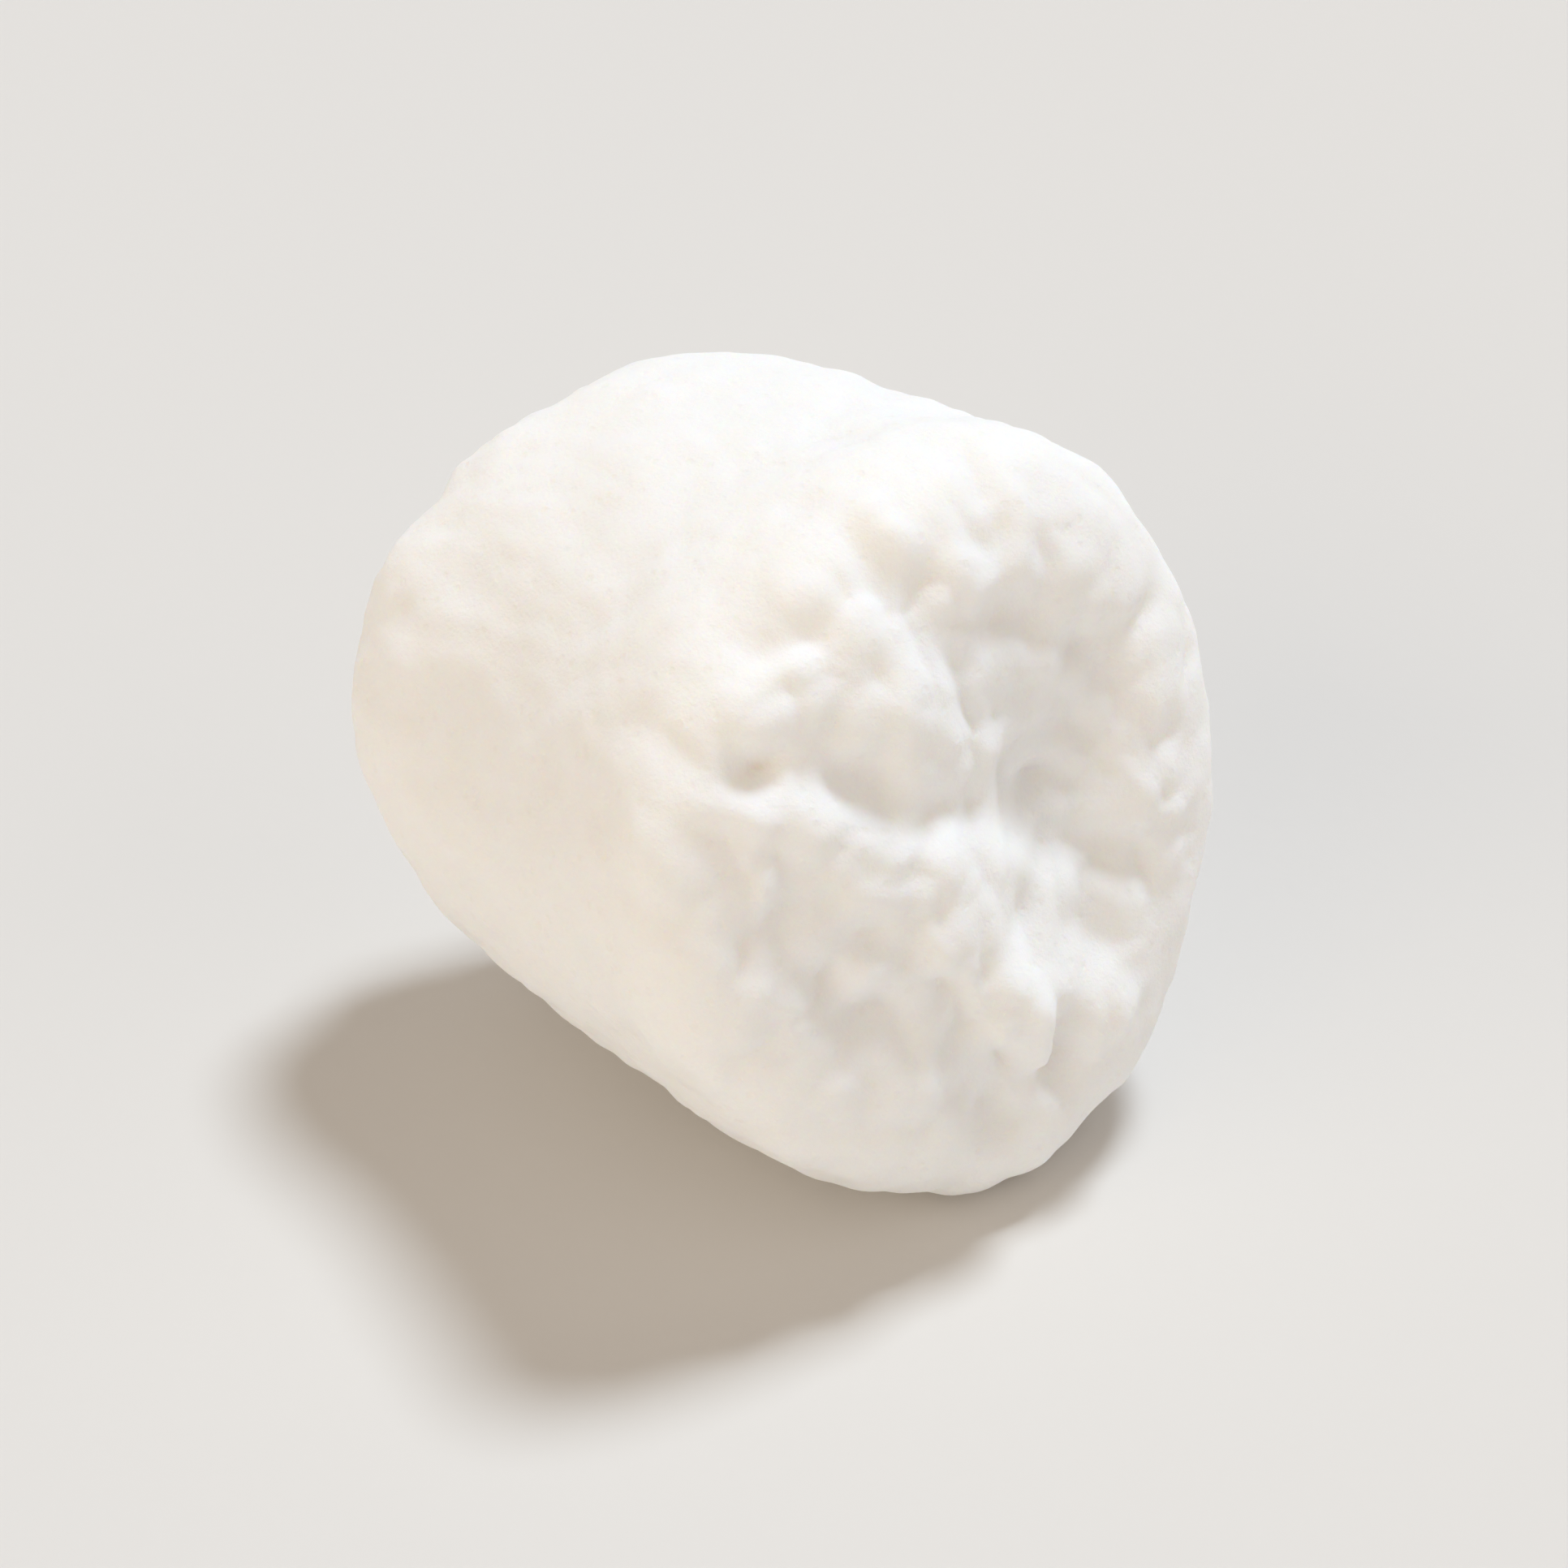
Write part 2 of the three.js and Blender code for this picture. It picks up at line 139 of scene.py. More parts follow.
# The crumpled part of each face: a round patch beside the face's middle, with a wavering edge.
FRONT_PATCH = {"at": (-0.3, 1.0), "radius": 4.7}
BACK_PATCH = {"at": (-0.4, 0.4), "radius": 4.6}
PATCH_FADE = 0.8  # half the width of the patch's soft edge
PATCH_SINK = 0.12  # how deep the patch lies below the smooth rim
PATCH_WAVER, PATCH_WAVER_SPACING = 0.5, 1.4  # how far the edge wavers, and from one waver to the next

# Seeds, and the steps from a seed to those of its other uses, so that each draws numbers of its own.
FRONT_SEED, BACK_SEED, SIDE_SEED = 161, 11, 23
DRAW_STEP = 57
UPWARD_STEP = 101
WIDE_PULL_STEP, NEAR_PULL_STEP, CURD_STEP, PATCH_STEP = 101, 303, 300, 400
NOISE_GAIN = 1.6  # brings the crests of smooth noise to about 1
# Multipliers that scramble a lattice corner's whole numbers and a seed, kept to 32 bits.
CORNER_FACTORS = (374761393, 668265263, 1274126177)
SEED_FACTOR = 974634777
MIX_FACTORS = (1103515245, 668265263)
WORD = 0xFFFFFFFF


def corner_value(i, j, k, seed):
    """A number from 0 to 1 for each lattice corner: its whole numbers and the seed, mixed bit by bit."""
    mix = sum(number * factor for number, factor in zip((i, j, k), CORNER_FACTORS))
    mix = (mix + seed * SEED_FACTOR) & WORD
    mix = ((mix ^ (mix >> 13)) * MIX_FACTORS[0]) & WORD
    mix = ((mix ^ (mix >> 15)) * MIX_FACTORS[1]) & WORD
    return (mix ^ (mix >> 16)) / (WORD + 1)


def noise(x, y, z, seed):
    """Smooth noise from about -1 to 1: a random slope at each of a cell's eight corners, each slope's height
    at the point, blended across the cell by 6s^5 - 15s^4 + 10s^3 in each direction."""
    cell = [np.floor(v).astype(np.int64) for v in (x, y, z)]
    inside = [v - c for v, c in zip((x, y, z), cell)]
    blend = [s * s * s * (s * (s * 6 - 15) + 10) for s in inside]
    total = np.zeros(np.shape(x))
    for corner in np.ndindex(2, 2, 2):
        at = [c + d for c, d in zip(cell, corner)]
        slope = [corner_value(*at, seed + DRAW_STEP * n) * 2 - 1 for n in range(3)]
        height = sum(slope[n] * (inside[n] - corner[n]) for n in range(3))
        share = np.prod([b if far else 1 - b for b, far in zip(blend, corner)], axis=0)
        total += share * height
    return total * NOISE_GAIN


def soft_step(low, high, value):
    """0 below low, 1 above high, and 3s^2 - 2s^3 between them."""
    s = np.clip((value - low) / (high - low), 0, 1)
    return s * s * (3 - 2 * s)


def distance_to_line(across, up, line):
    """Distance from each place to a crease's line: the least of the distances to its straight stretches."""
    nearest = np.full(np.shape(across), np.inf)
    for (x0, z0), (x1, z1) in zip(line, line[1:]):
        run_x, run_z = x1 - x0, z1 - z0
        along = ((across - x0) * run_x + (up - z0) * run_z) / (run_x ** 2 + run_z ** 2)
        held = np.clip(along, 0, 1)
        nearest = np.minimum(nearest, np.hypot(across - x0 - held * run_x, up - z0 - held * run_z))
    return nearest


def pulled(x, y, z, spacing, reach, seed):
    """The same places, each pulled across and upwards by about the reach at most, by smooth noise of that
    spacing."""
    dx = reach * noise(x / spacing, y / spacing, z / spacing, seed)
    dz = reach * noise(x / spacing, y / spacing, z / spacing, seed + UPWARD_STEP)
    return x + dx, y, z + dz


def wrinkles(x, y, z, seed):
    """Folds with broad backs and narrow valleys: in each band, the size of smooth noise, eased near 0, capped
    at 1 and centred."""
    height = np.zeros(np.shape(x))
    for n, (spacing, rise) in enumerate(WRINKLE_BANDS):
        wave = noise(x / spacing, y / spacing, z / spacing, seed + n)
        fold = np.hypot(wave, WRINKLE_ROUNDING) - WRINKLE_ROUNDING
        height += rise * (np.minimum(fold * WRINKLE_GAIN, 1) - 0.5)
    return height


def curds(x, z, spacing, seed):
    """Small round lumps packed side by side on a face, about 1 high: each cell of a flat lattice holds one
    lump at a random place, at a random depth below 1, and falls off as the square of the distance from it.
    The highest counts, taken softly as the log of a sum of powers."""
    x, z = x / spacing, z / spacing
    column, row = np.floor(x).astype(np.int64), np.floor(z).astype(np.int64)
    total = np.zeros(np.shape(x))
    for step_x, step_z in np.ndindex(3, 3):
        i, k = column + step_x - 1, row + step_z - 1
        away_x = x - i - corner_value(i, 0, k, seed)
        away_z = z - k - corner_value(i, 0, k, seed + DRAW_STEP)
        drop = CURD_DROP * corner_value(i, 0, k, seed + 2 * DRAW_STEP)
        total += np.exp(-CURD_SHARPNESS * (away_x ** 2 + away_z ** 2 + drop))
    return 1 + np.log(total) / CURD_SHARPNESS


def patch_share(x, y, z, patch, seed):
    """1 in the crumpled patch and 0 outside it: 1 less a soft step of the distance from its middle plus a
    waver of smooth noise."""
    away = np.hypot(x - patch["at"][0], z - patch["at"][1])
    place = [v / PATCH_WAVER_SPACING for v in (x, y, z)]
    waver = PATCH_WAVER * noise(*place, seed + PATCH_STEP)
    return 1 - soft_step(patch["radius"] - PATCH_FADE, patch["radius"] + PATCH_FADE, away + waver)


def face_relief(x, y, z, lumps, pits, creases, seed):
    """Wrinkles and curds, plus a bell curve for each lump, less one for each pit and one of the distance to
    each crease, all sunk a little."""
    px, py, pz = pulled(x, y, z, *WIDE_PULL, seed + WIDE_PULL_STEP)
    height = wrinkles(px, py, pz, seed) - PATCH_SINK
    px, py, pz = pulled(px, py, pz, *NEAR_PULL, seed + NEAR_PULL_STEP)
    for n, (spacing, rise) in enumerate(CURD_BANDS):
        height += rise * (curds(px, pz, spacing, seed + CURD_STEP + n) - CURD_LEVEL)
    for lump in lumps:
        away = np.hypot(x - lump["at"][0], z - lump["at"][1]) / lump["radius"]
        height += lump["height"] * np.exp(-away ** 2)
    for across, up in pits:
        away = np.hypot(x - across, z - up) / PIT_RADIUS
        height -= PIT_DEPTH * np.exp(-away ** 2)
    for crease in creases:
        away = distance_to_line(x, z, crease["line"]) / crease["width"]
        height -= crease["depth"] * np.exp(-away ** 2)
    return height


def side_relief(x, y, z, radius):
    """Bands of smooth noise, less a bell curve round the middle of each pressed hollow."""
    height = np.zeros(np.shape(x))
    for n, (spacing, rise) in enumerate(SIDE_BANDS):
        height += rise * noise(x / spacing, y / spacing, z / spacing, SIDE_SEED + n)
    for hollow in SIDE_HOLLOWS:
        angle = math.radians(hollow["angle"])
        dx = x - radius * math.cos(angle)
        dz = z - radius * math.sin(angle)
        dy = y - hollow["along"]
        height -= hollow["depth"] * np.exp(-(dx ** 2 + dy ** 2 + dz ** 2) / hollow["radius"] ** 2)
    return height


# ---------------------------------------------------------------- the form


def drum(tilt, turn, sizes):
    """A super-ellipse turned round the Y axis: along the direction of each tilt and turn, the reach at which
    |y / half length|^power + (out / radius)^power is 1. Gives the points and the directions they face."""
    half, radius = sizes.length / MM / 2, sizes.diameter / MM / 2
    power = np.where(tilt < math.pi / 2, sizes.front_edge, sizes.back_edge)
    towards, outwards = -np.cos(tilt), np.sin(tilt)
    reach = ((np.abs(towards) / half) ** power + (np.abs(outwards) / radius) ** power) ** (-1 / power)
    y, out = reach * towards, reach * outwards
    face_y = np.sign(y) * (np.abs(y) / half) ** (power - 1) / half
    face_out = (np.abs(out) / radius) ** (power - 1) / radius
    span = np.hypot(face_y, face_out)
    point = np.stack((out * np.cos(turn), y, out * np.sin(turn)), axis=-1)
    facing = np.stack((face_out * np.cos(turn), face_y, face_out * np.sin(turn)), axis=-1) / span[..., None]
    return point, facing


def relief(point, facing, sizes):
    """Height of all relief: each cut face's own where the point looks along Y, the side's elsewhere, each
    fading into the next by a soft step of how squarely the point looks along Y."""
    x, y, z = np.moveaxis(point, -1, 0)
    radius = sizes.diameter / MM / 2
    front = soft_step(*FACE_MASK, -facing[..., 1]) * patch_share(x, y, z, FRONT_PATCH, FRONT_SEED)
    back = soft_step(*FACE_MASK, facing[..., 1]) * patch_share(-x, y, z, BACK_PATCH, BACK_SEED)
    return (front * face_relief(x, y, z, FRONT_LUMPS, FRONT_PITS, FRONT_CREASES, FRONT_SEED)
            + back * face_relief(-x, y, z, BACK_LUMPS, BACK_PITS, BACK_CREASES, BACK_SEED)
            + (1 - front - back) * side_relief(x, y, z, radius))


def settle(point, sizes):
    """Makes the drum uneven and sets it down: its width changes along the axis by taper and round it by oval
    and lobes, its axis bows, its back end curls up, its cuts slant, and what is under the floor is pressed
    flat."""
    half, radius = sizes.length / MM / 2, sizes.diameter / MM / 2
    x, y, z = np.moveaxis(point, -1, 0)
    along = y / half
    girth = 1 - sizes.taper * along
    width = girth * (1 + sizes.three_lobe * np.cos(3 * np.arctan2(z, x) + sizes.lobe_turn))
    x, z = x * width * (1 - sizes.oval), z * width * (1 + sizes.oval)
    front, back = np.maximum(0, -along), np.maximum(0, along)
    y = (y + front * (sizes.front_slope[0] * x + sizes.front_slope[1] * z)
         + back * (sizes.back_slope[0] * x + sizes.back_slope[1] * z))
    x = x + sizes.bow / MM * (1 - along ** 2)
    z = z + radius * girth * (1 + sizes.oval) + (sizes.curl * back ** 2 - sizes.rest_depth) / MM
    z = np.maximum(0, z)
    return np.stack((x, y, z), axis=-1)


def row_tilt(steps, sizes):
    """Tilts that point at evenly spaced places on the outline of the box that just holds the drum."""
    half, radius = sizes.length / MM / 2, sizes.diameter / MM / 2
    whole = 2 * radius + 2 * half
    walked = np.linspace(0, whole, steps + 1)
    outwards = np.minimum(np.minimum(walked, radius), whole - walked)
    along = np.clip(walked - radius - half, -half, half)
    return np.arctan2(outwards, -along)


def foam_points(tilt, turn, sizes):
    """The finished surface in metres: the drum, moved by its relief along its facing, and then settled."""
    point, facing = drum(tilt, turn, sizes)
    point = settle(point + facing * relief(point, facing, sizes)[..., None], sizes)
    return point * MM


def foam_grid(sizes):
    """Rows of points from the middle of the front face to the middle of the back, and how far to slide
    them so that their box has its middle over the origin."""
    tilt = row_tilt(sizes.rows, sizes)[:, None]
    turn = np.linspace(0, 2 * math.pi, sizes.columns, endpoint=False)[None, :]
    tilt, turn = np.broadcast_arrays(tilt, turn)
    grid = foam_points(tilt, turn, sizes)
    flat = grid.reshape(-1, 3)
    middle = (flat.min(axis=0) + flat.max(axis=0)) / 2
    return grid - middle * (1, 1, 0)


def closed_mesh(name, grid):
    """A closed mesh from a grid whose first and last rows are each one place: those rows become one point
    with a fan of triangles, and the rows between are joined by quads that wrap round."""
    rows, columns = grid.shape[0] - 1, grid.shape[1]
    points = np.concatenate((grid[0, :1], grid[1:-1].reshape(-1, 3), grid[-1, :1]))
    last = len(points) - 1
    here = np.arange(columns)
    after = (here + 1) % columns
    first_ring, last_ring = 1 + here, 1 + (rows - 2) * columns + here
    front = np.stack((np.zeros_like(here), first_ring, 1 + after), axis=1)
    back = np.stack((last_ring, np.full_like(here, last), 1 + (rows - 2) * columns + after), axis=1)
    start = 1 + np.arange(rows - 2)[:, None] * columns
    quads = np.stack((start + here, start + columns + here, start + columns + after, start + after), axis=-1)
    faces = front.tolist() + quads.reshape(-1, 4).tolist() + back.tolist()
    mesh = bpy.data.meshes.new(name)
    mesh.from_pydata(points.tolist(), [], faces)
    mesh.shade_smooth()
    return mesh


# ---------------------------------------------------------------- shader groups and materials

# Starch and pores, in metres.
GRAIN_SIZE, CAKE_SIZE, PORE_SPACING = 0.00007, 0.0011, 0.00028
CAKE_RANGE = (0.38, 0.62)  # slow noise where caked starch begins, and where it is full
PORE_RANGE = (0.12, 0.36)  # a pore's full depth and its rim, as shares of the spacing
NO_PORE_SHARE = 0.55  # share of the cells that hold no pore
# Each kind of relief that is left to the shader: how strong it is, and how far it stands, in metres.
CAKE_BUMP, GRAIN_BUMP, PORE_BUMP = (0.5, 0.00003), (0.7, 0.00003), (0.3, 0.00004)
FOAM_ROUGHNESS = (0.78, 0.95)  # where the starch is thin, and where it has caked
FOAM_SHINE = 0.25
GLOW_SHARE = 0.65  # share of the light that goes into the foam
GLOW_REACH = (1.0, 0.72, 0.45)  # how far red, green and blue light go, as shares of the glow's depth
PAPER_TOOTH = 900.0  # lumps of the floor's paper in a metre
PAPER_BUMP = (0.15, 0.0001)
PAPER_ROUGHNESS, PAPER_SHINE = 0.85, 0.1
MIX_FIRST, MIX_SECOND, MIX_RESULT = 6, 7, 2  # the Mix node's sockets for colours


def new_group(name, inputs, outputs):
    """An empty shader node group with float or vector inputs and outputs, and its two end nodes."""
    group = bpy.data.node_groups.new(name, "ShaderNodeTree")
    for label, kind, value in inputs:
        socket = group.interface.new_socket(label, in_out="INPUT", socket_type=kind)
        if value is not None:
            socket.default_value = value
    for label, kind in outputs:
        group.interface.new_socket(label, in_out="OUTPUT", socket_type=kind)
    return group, group.nodes.new("NodeGroupInput"), group.nodes.new("NodeGroupOutput")


def add_node(tree, kind, inputs=None, **settings):
    """A node with its settings, and each input either linked to a socket or given a value."""
    node = tree.nodes.new(kind)
    for key, value in settings.items():
        setattr(node, key, value)
    for key, value in (inputs or {}).items():
        if isinstance(value, bpy.types.NodeSocket):
            tree.links.new(value, node.inputs[key])
        else:
            node.inputs[key].default_value = value
    return node


def scale_of(tree, size):
    """The noise scale that gives lumps of a size: 1 divided by it."""
    return add_node(tree, "ShaderNodeMath", {0: 1.0, 1: size}, operation="DIVIDE").outputs[0]


def bumped(tree, height, bump, below=None, invert=False):
    """The normal that a height gives to the surface, or to the relief below it."""
    inputs = {"Height": height, "Strength": bump[0], "Distance": bump[1]}
    if below is not None:
        inputs["Normal"] = below
    return add_node(tree, "ShaderNodeBump", inputs, invert=invert).outputs["Normal"]


def powder_group():
    """Starch dust: fine grain from fast noise, and patches where it has caked from slower noise."""
    group, entry, leave = new_group(
        "Starch dust",
        [("Position", "NodeSocketVector", None), ("Grain size", "NodeSocketFloat", GRAIN_SIZE),
         ("Patch size", "NodeSocketFloat", CAKE_SIZE)],
        [("Grain", "NodeSocketFloat"), ("Patches", "NodeSocketFloat")])
    place = entry.outputs["Position"]
    grain = add_node(group, "ShaderNodeTexNoise", {
        "Vector": place, "Scale": scale_of(group, entry.outputs["Grain size"]),
        "Detail": 3.0, "Roughness": 0.65})
    patches = add_node(group, "ShaderNodeTexNoise", {
        "Vector": place, "Scale": scale_of(group, entry.outputs["Patch size"]),
        "Detail": 4.0, "Roughness": 0.6})
    spread = add_node(group, "ShaderNodeMapRange", {
        "Value": patches.outputs["Fac"], "From Min": CAKE_RANGE[0], "From Max": CAKE_RANGE[1]})
    group.links.new(grain.outputs["Fac"], leave.inputs["Grain"])
    group.links.new(spread.outputs["Result"], leave.inputs["Patches"])
    return group


def pore_group():
    """Foam pores: round pits at the middles of scattered cells, only where a cell's own number is high."""
    group, entry, leave = new_group(
        "Foam pores",
        [("Position", "NodeSocketVector", None), ("Spacing", "NodeSocketFloat", PORE_SPACING)],
        [("Pits", "NodeSocketFloat")])
    cells = add_node(group, "ShaderNodeTexVoronoi", {
        "Vector": entry.outputs["Position"], "Scale": scale_of(group, entry.outputs["Spacing"]),
        "Randomness": 1.0})
    pit = add_node(group, "ShaderNodeMapRange", {
        "Value": cells.outputs["Distance"], "From Min": PORE_RANGE[0], "From Max": PORE_RANGE[1],
        "To Min": 1.0, "To Max": 0.0}, interpolation_type="SMOOTHSTEP")
    chosen = add_node(group, "ShaderNodeSeparateColor", {"Color": cells.outputs["Color"]})
    keep = add_node(group, "ShaderNodeMath", {0: chosen.outputs["Red"], 1: NO_PORE_SHARE},
                    operation="GREATER_THAN")
    pits = add_node(group, "ShaderNodeMath", {0: pit.outputs["Result"], 1: keep.outputs[0]},
                    operation="MULTIPLY")
    group.links.new(pits.outputs[0], leave.inputs["Pits"])
    return group


def shared_group(name):
    """The node group of that name, made the first time that it is asked for."""
    makers = {"Starch dust": powder_group, "Foam pores": pore_group}
    return bpy.data.node_groups.get(name) or makers[name]()


def new_material(name):
    """An empty node material with its output, a Principled shader and a Texture Coordinate node."""
    material = bpy.data.materials.new(name)
    material.use_nodes = True
    tree = material.node_tree
    tree.nodes.clear()
    output = tree.nodes.new("ShaderNodeOutputMaterial")
    shader = tree.nodes.new("ShaderNodeBsdfPrincipled")
    tree.links.new(shader.outputs["BSDF"], output.inputs["Surface"])
    place = tree.nodes.new("ShaderNodeTexCoord")
    return material, tree, shader, place.outputs["Object"]


def mix_colour(tree, share, first, second):
    """The first colour where share is 0 and the second where it is 1."""
    first, second = (colour if isinstance(colour, bpy.types.NodeSocket) else (*colour, 1.0)
                     for colour in (first, second))
    node = add_node(tree, "ShaderNodeMix", {"Factor": share, MIX_FIRST: first, MIX_SECOND: second},
                    data_type="RGBA")
    return node.outputs[MIX_RESULT]


def foam_material(finish, dust, pores):
    """Sugar foam under starch: white, creamier where the dust is thin and in the pores, dry and rough, lit
    from within, with grain, cake and pores in its bump."""
    material, tree, shader, place = new_material("starch_dusted_foam")
    powder = add_node(tree, "ShaderNodeGroup", {
        "Position": place, "Grain size": GRAIN_SIZE, "Patch size": CAKE_SIZE}, node_tree=dust)
    holes = add_node(tree, "ShaderNodeGroup", {"Position": place, "Spacing": PORE_SPACING}, node_tree=pores)
    grain, patches, pits = powder.outputs["Grain"], powder.outputs["Patches"], holes.outputs["Pits"]
    base = mix_colour(tree, patches, finish.foam_colour, finish.starch_colour)
    tree.links.new(mix_colour(tree, pits, base, finish.pore_colour), shader.inputs["Base Color"])
    rough = add_node(tree, "ShaderNodeMapRange", {
        "Value": patches, "To Min": FOAM_ROUGHNESS[0], "To Max": FOAM_ROUGHNESS[1]})
    tree.links.new(rough.outputs["Result"], shader.inputs["Roughness"])
    shader.inputs["Subsurface Weight"].default_value = GLOW_SHARE
    shader.inputs["Subsurface Radius"].default_value = GLOW_REACH
    shader.inputs["Subsurface Scale"].default_value = finish.glow_depth
    shader.inputs["Specular IOR Level"].default_value = FOAM_SHINE
    caked = bumped(tree, patches, CAKE_BUMP)
    grained = bumped(tree, grain, GRAIN_BUMP, below=caked)
    pitted = bumped(tree, pits, PORE_BUMP, below=grained, invert=True)
    tree.links.new(pitted, shader.inputs["Normal"])
    return material


# ---------------------------------------------------------------- what a user can change


class MarshmallowSizes(bpy.types.PropertyGroup):
    """The marshmallow's form."""

    length: FloatProperty(
        name="Length", description="From cut face to cut face, without the lumps",
        default=0.0110, min=0.004, max=0.05, unit="LENGTH")
    diameter: FloatProperty(
        name="Diameter", description="Across the middle, before it is made uneven",
        default=0.0117, min=0.004, max=0.05, unit="LENGTH")
    front_edge: FloatProperty(
        name="Front edge", description="The higher, the tighter the front face's round edge",
        default=4.8, min=2, max=20)
    back_edge: FloatProperty(
        name="Back edge", description="The higher, the tighter the back face's round edge",
        default=3.9, min=2, max=20)
    taper: FloatProperty(
        name="Taper", description="Share by which the front is wider than the middle", default=0.08)
    oval: FloatProperty(
        name="Oval", description="Share by which it is higher and narrower than round", default=0.02)
    three_lobe: FloatProperty(
        name="Lobes", description="Share of a faint three-sided roundness", default=0.03)
    lobe_turn: FloatProperty(
        name="Lobe turn", description="How far round the axis the three sides are turned",
        default=math.radians(-156), subtype="ANGLE")
    bow: FloatProperty(
        name="Bow", description="Sideways bow of the axis at mid length", default=0.0004, unit="LENGTH")
    curl: FloatProperty(
        name="Curl", description="How far the back end is bent up", default=0.0002, unit="LENGTH")
    front_slope: FloatVectorProperty(
        name="Front cut", description="Lean of the front cut, across and upwards",
        size=2, default=(-0.02, 0.24))
    back_slope: FloatVectorProperty(
        name="Back cut", description="Lean of the back cut, across and upwards",
        size=2, default=(-0.17, 0.17))
    rest_depth: FloatProperty(
        name="Rest depth", description="How much of the underside is pressed flat",
        default=0.00022, unit="LENGTH")
    columns: IntProperty(
        name="Columns", description="Points round the side", default=448, min=24, max=1000)
    rows: IntProperty(
        name="Rows", description="Steps from face to face", default=216, min=24, max=500)


class MarshmallowFinish(bpy.types.PropertyGroup):
    """Colours of foam and starch, and how far light travels inside."""

    foam_colour: FloatVectorProperty(
        name="Foam", description="Sugar foam where the starch is thin",
        subtype="COLOR", size=3, default=(0.935, 0.926, 0.908), min=0, max=1)
    starch_colour: FloatVectorProperty(
        name="Starch", description="Starch dust",
        subtype="COLOR", size=3, default=(0.94, 0.937, 0.928), min=0, max=1)
    pore_colour: FloatVectorProperty(
        name="Pores", description="Inside of the open pores",
        subtype="COLOR", size=3, default=(0.925, 0.915, 0.895), min=0, max=1)
    glow_depth: FloatProperty(
        name="Glow depth", description="How far light travels inside the foam",
        default=0.0013, min=0, max=0.01, unit="LENGTH")


class MarshmallowStage(bpy.types.PropertyGroup):
    """Floor, light and camera."""

    floor_colour: FloatVectorProperty(
        name="Floor", description="Colour of the floor",
        subtype="COLOR", size=3, default=(0.72, 0.70, 0.675), min=0, max=1)
    key_strength: FloatProperty(
        name="Key", description="Strength of the key light", default=2.24, min=0)
    key_colour: FloatVectorProperty(
        name="Key colour", description="Colour of the key light",
        subtype="COLOR", size=3, default=(0.80, 0.90, 1.0), min=0, max=1)
    key_azimuth: FloatProperty(
        name="Key azimuth", description="Key light, to the right of straight behind the piece",
        default=math.radians(38), subtype="ANGLE")
    key_elevation: FloatProperty(
        name="Key elevation", description="Key light above the horizon",
        default=math.radians(65), subtype="ANGLE")
    key_spread: FloatProperty(
        name="Key spread", description="How wide the key light looks from the piece",
        default=math.radians(14), subtype="ANGLE")
    room_strength: FloatProperty(
        name="Room", description="Strength of the light from all round", default=0.40, min=0)
    room_colour: FloatVectorProperty(
        name="Room colour", description="Colour of the light from all round",
        subtype="COLOR", size=3, default=(1.0, 0.88, 0.775), min=0, max=1)
    left_strength: FloatProperty(
        name="Left fill", description="Strength of the warm fill", default=1.27, min=0)
    left_colour: FloatVectorProperty(
        name="Left fill colour", description="Colour of the warm fill",
        subtype="COLOR", size=3, default=(1.0, 0.868, 0.69), min=0, max=1)
    right_strength: FloatProperty(
        name="Right fill", description="Strength of the pale fill", default=0.40, min=0)
    right_colour: FloatVectorProperty(
        name="Right fill colour", description="Colour of the pale fill",
        subtype="COLOR", size=3, default=(1.0, 0.97, 0.93), min=0, max=1)
    view_azimuth: FloatProperty(
        name="View azimuth", description="Camera round the piece, from -Y towards +X",
        default=math.radians(-41), subtype="ANGLE")
    view_elevation: FloatProperty(
        name="View elevation", description="Camera above the horizon",
        default=math.radians(35), subtype="ANGLE")
    lens: FloatProperty(
        name="Lens", description="Focal length in millimetres", default=85, min=20)
    aim_height: FloatProperty(
        name="Aim height", description="Share of the piece's height that the camera aims at",
        default=0.42, min=0, max=1, subtype="FACTOR")
    frame_share: FloatProperty(
        name="Frame share", description="Share of the frame's width that the piece fills",
        default=0.58, min=0.1, max=1, subtype="FACTOR")


# ---------------------------------------------------------------- floor, light and camera

FLOOR_REACH = 3.0  # from the middle to each edge, in metres
FLOOR_DROP = 0.01  # how far the floor lies under the piece, in millimetres
# The two fills: how far round from the camera each stands, and how far above the horizon.
LEFT_FILL_PLACE = (math.radians(-45), math.radians(15))
RIGHT_FILL_PLACE = (math.radians(68), math.radians(22))
FILL_SPREAD = math.radians(60)
SENSOR_WIDTH = 36  # millimetres
CLIP_RANGE = (0.001, 20)  # what the camera sees, in metres from it
SEEN_SHARE = 0.86  # how wide the piece looks beside the width of its box


def make_floor(stage):
    """A wide level floor just under the piece, in matt paper."""
    half = FLOOR_REACH
    below = -FLOOR_DROP * MM
    mesh = bpy.data.meshes.new("floor")
    corners = [(-half, -half, below), (half, -half, below), (half, half, below), (-half, half, below)]
    mesh.from_pydata(corners, [], [(0, 1, 2, 3)])
    material, tree, shader, place = new_material("floor_paper")
    tooth = add_node(tree, "ShaderNodeTexNoise", {"Vector": place, "Scale": PAPER_TOOTH, "Detail": 4.0})
    tree.links.new(bumped(tree, tooth.outputs["Fac"], PAPER_BUMP), shader.inputs["Normal"])
    shader.inputs["Base Color"].default_value = (*stage.floor_colour, 1)
    shader.inputs["Roughness"].default_value = PAPER_ROUGHNESS
    shader.inputs["Specular IOR Level"].default_value = PAPER_SHINE
    mesh.materials.append(material)
    floor = bpy.data.objects.new("floor", mesh)
    bpy.context.scene.collection.objects.link(floor)
    floor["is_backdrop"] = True


def direction(azimuth, elevation):
    """Unit vector towards a place at that azimuth, from -Y towards +X, and that height above the horizon."""
    return np.array((math.sin(azimuth) * math.cos(elevation), -math.cos(azimuth) * math.cos(elevation),
                     math.sin(elevation)))


